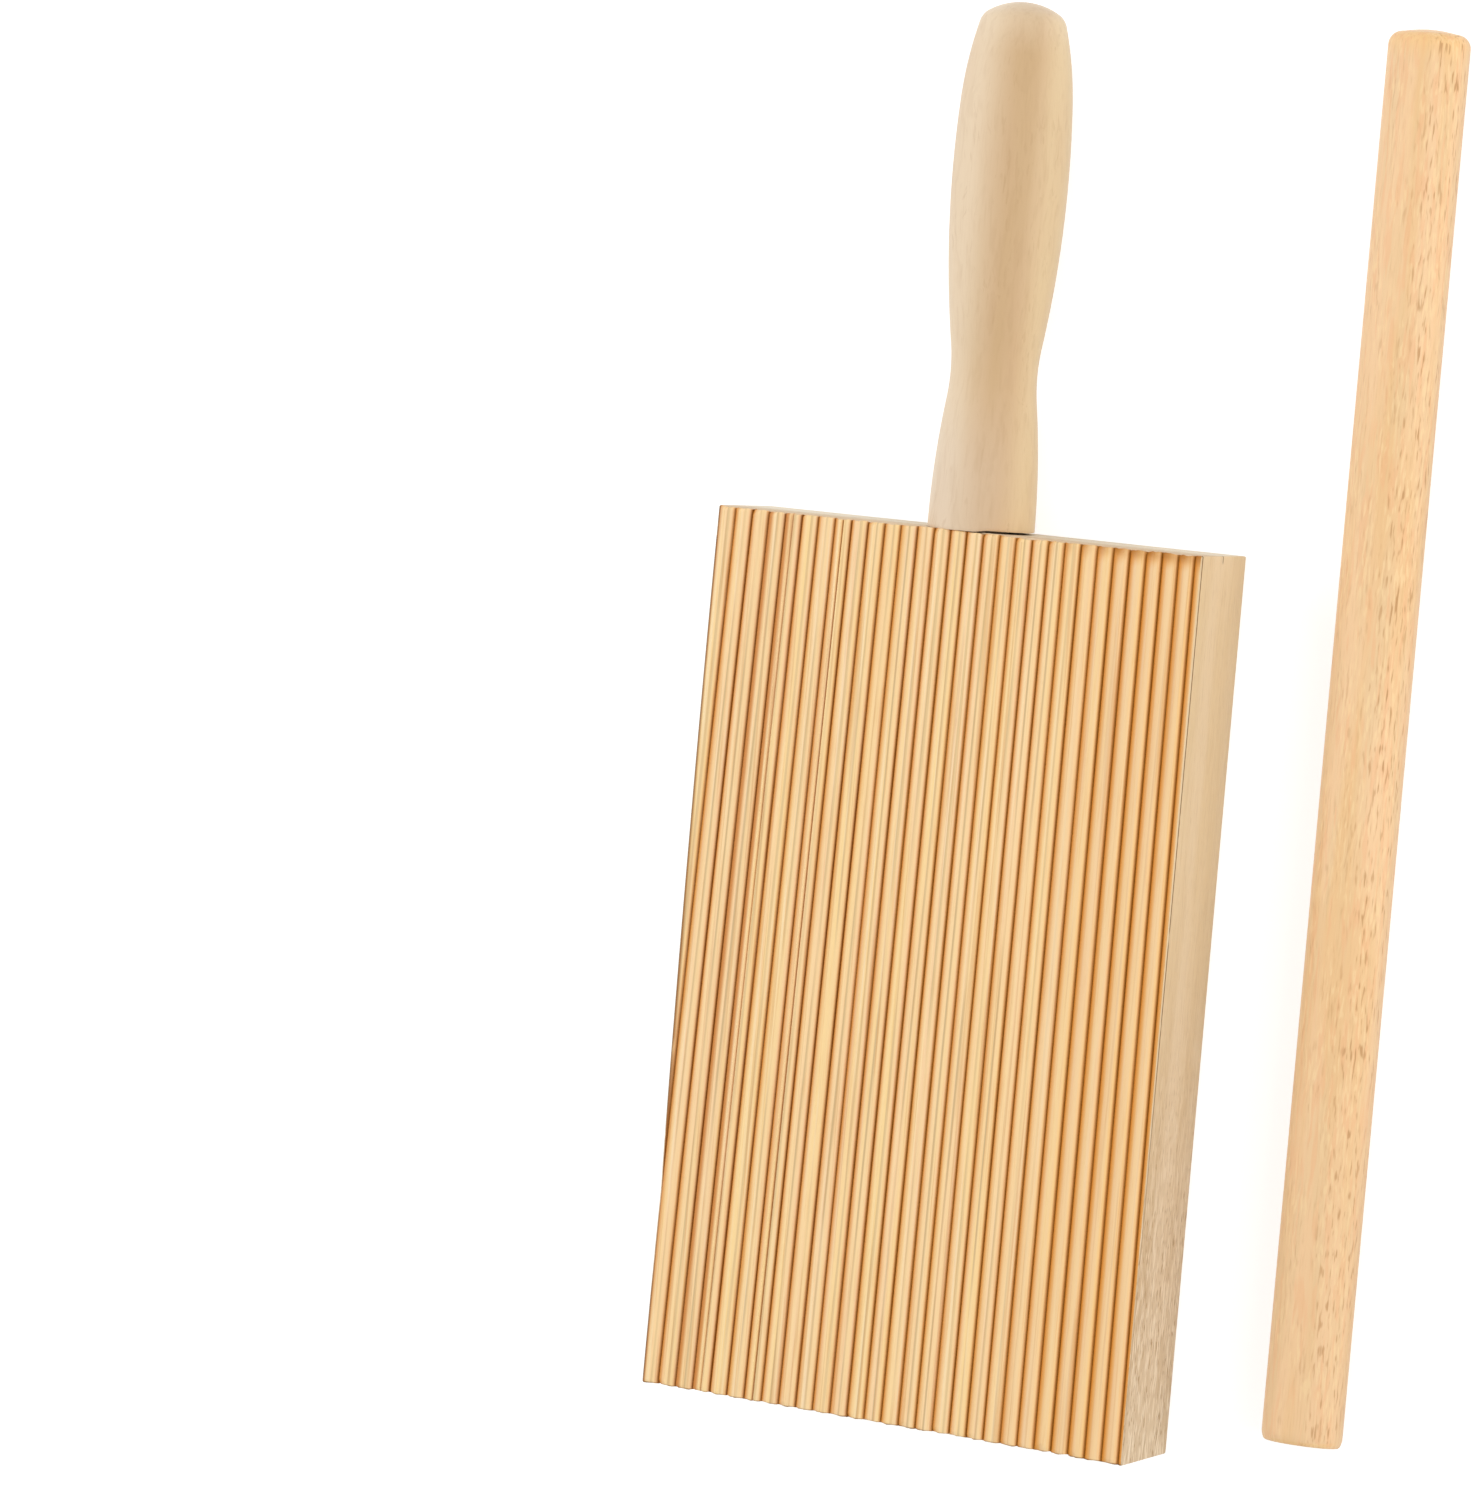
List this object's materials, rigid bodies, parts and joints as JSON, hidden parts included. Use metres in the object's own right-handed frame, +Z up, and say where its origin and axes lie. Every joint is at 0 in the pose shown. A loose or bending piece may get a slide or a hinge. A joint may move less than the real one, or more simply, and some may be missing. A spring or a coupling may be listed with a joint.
{
  "type": "gnocchi board",
  "caption": "Small wooden board with a lengthwise reeded face and a turned handle, and a loose dowel to roll dough on it.",
  "frame": {"origin": "middle of the board's flat underside, on the worktop", "axes": "+Y along the reeds towards the handle, +Z up out of the reeded face, +X across the board towards the rod"},
  "size_m": [0.1059, 0.2046, 0.0168],
  "materials": {
    "reeded_beech": "bare, planed and moulded",
    "turned_beech": "bare, turned and sanded",
    "dowel_beech": "bare, sanded"
  },
  "bodies": {
    "board": {"board": "reeded_beech", "handle": "turned_beech"},
    "rod": {"rod": "dowel_beech"}
  },
  "joints": [
    {"name": "rod_lift", "type": "slide", "parent": "board", "child": "rod", "axis": [0, 0, 1], "range_m": [0, 0.1]}
  ]
}
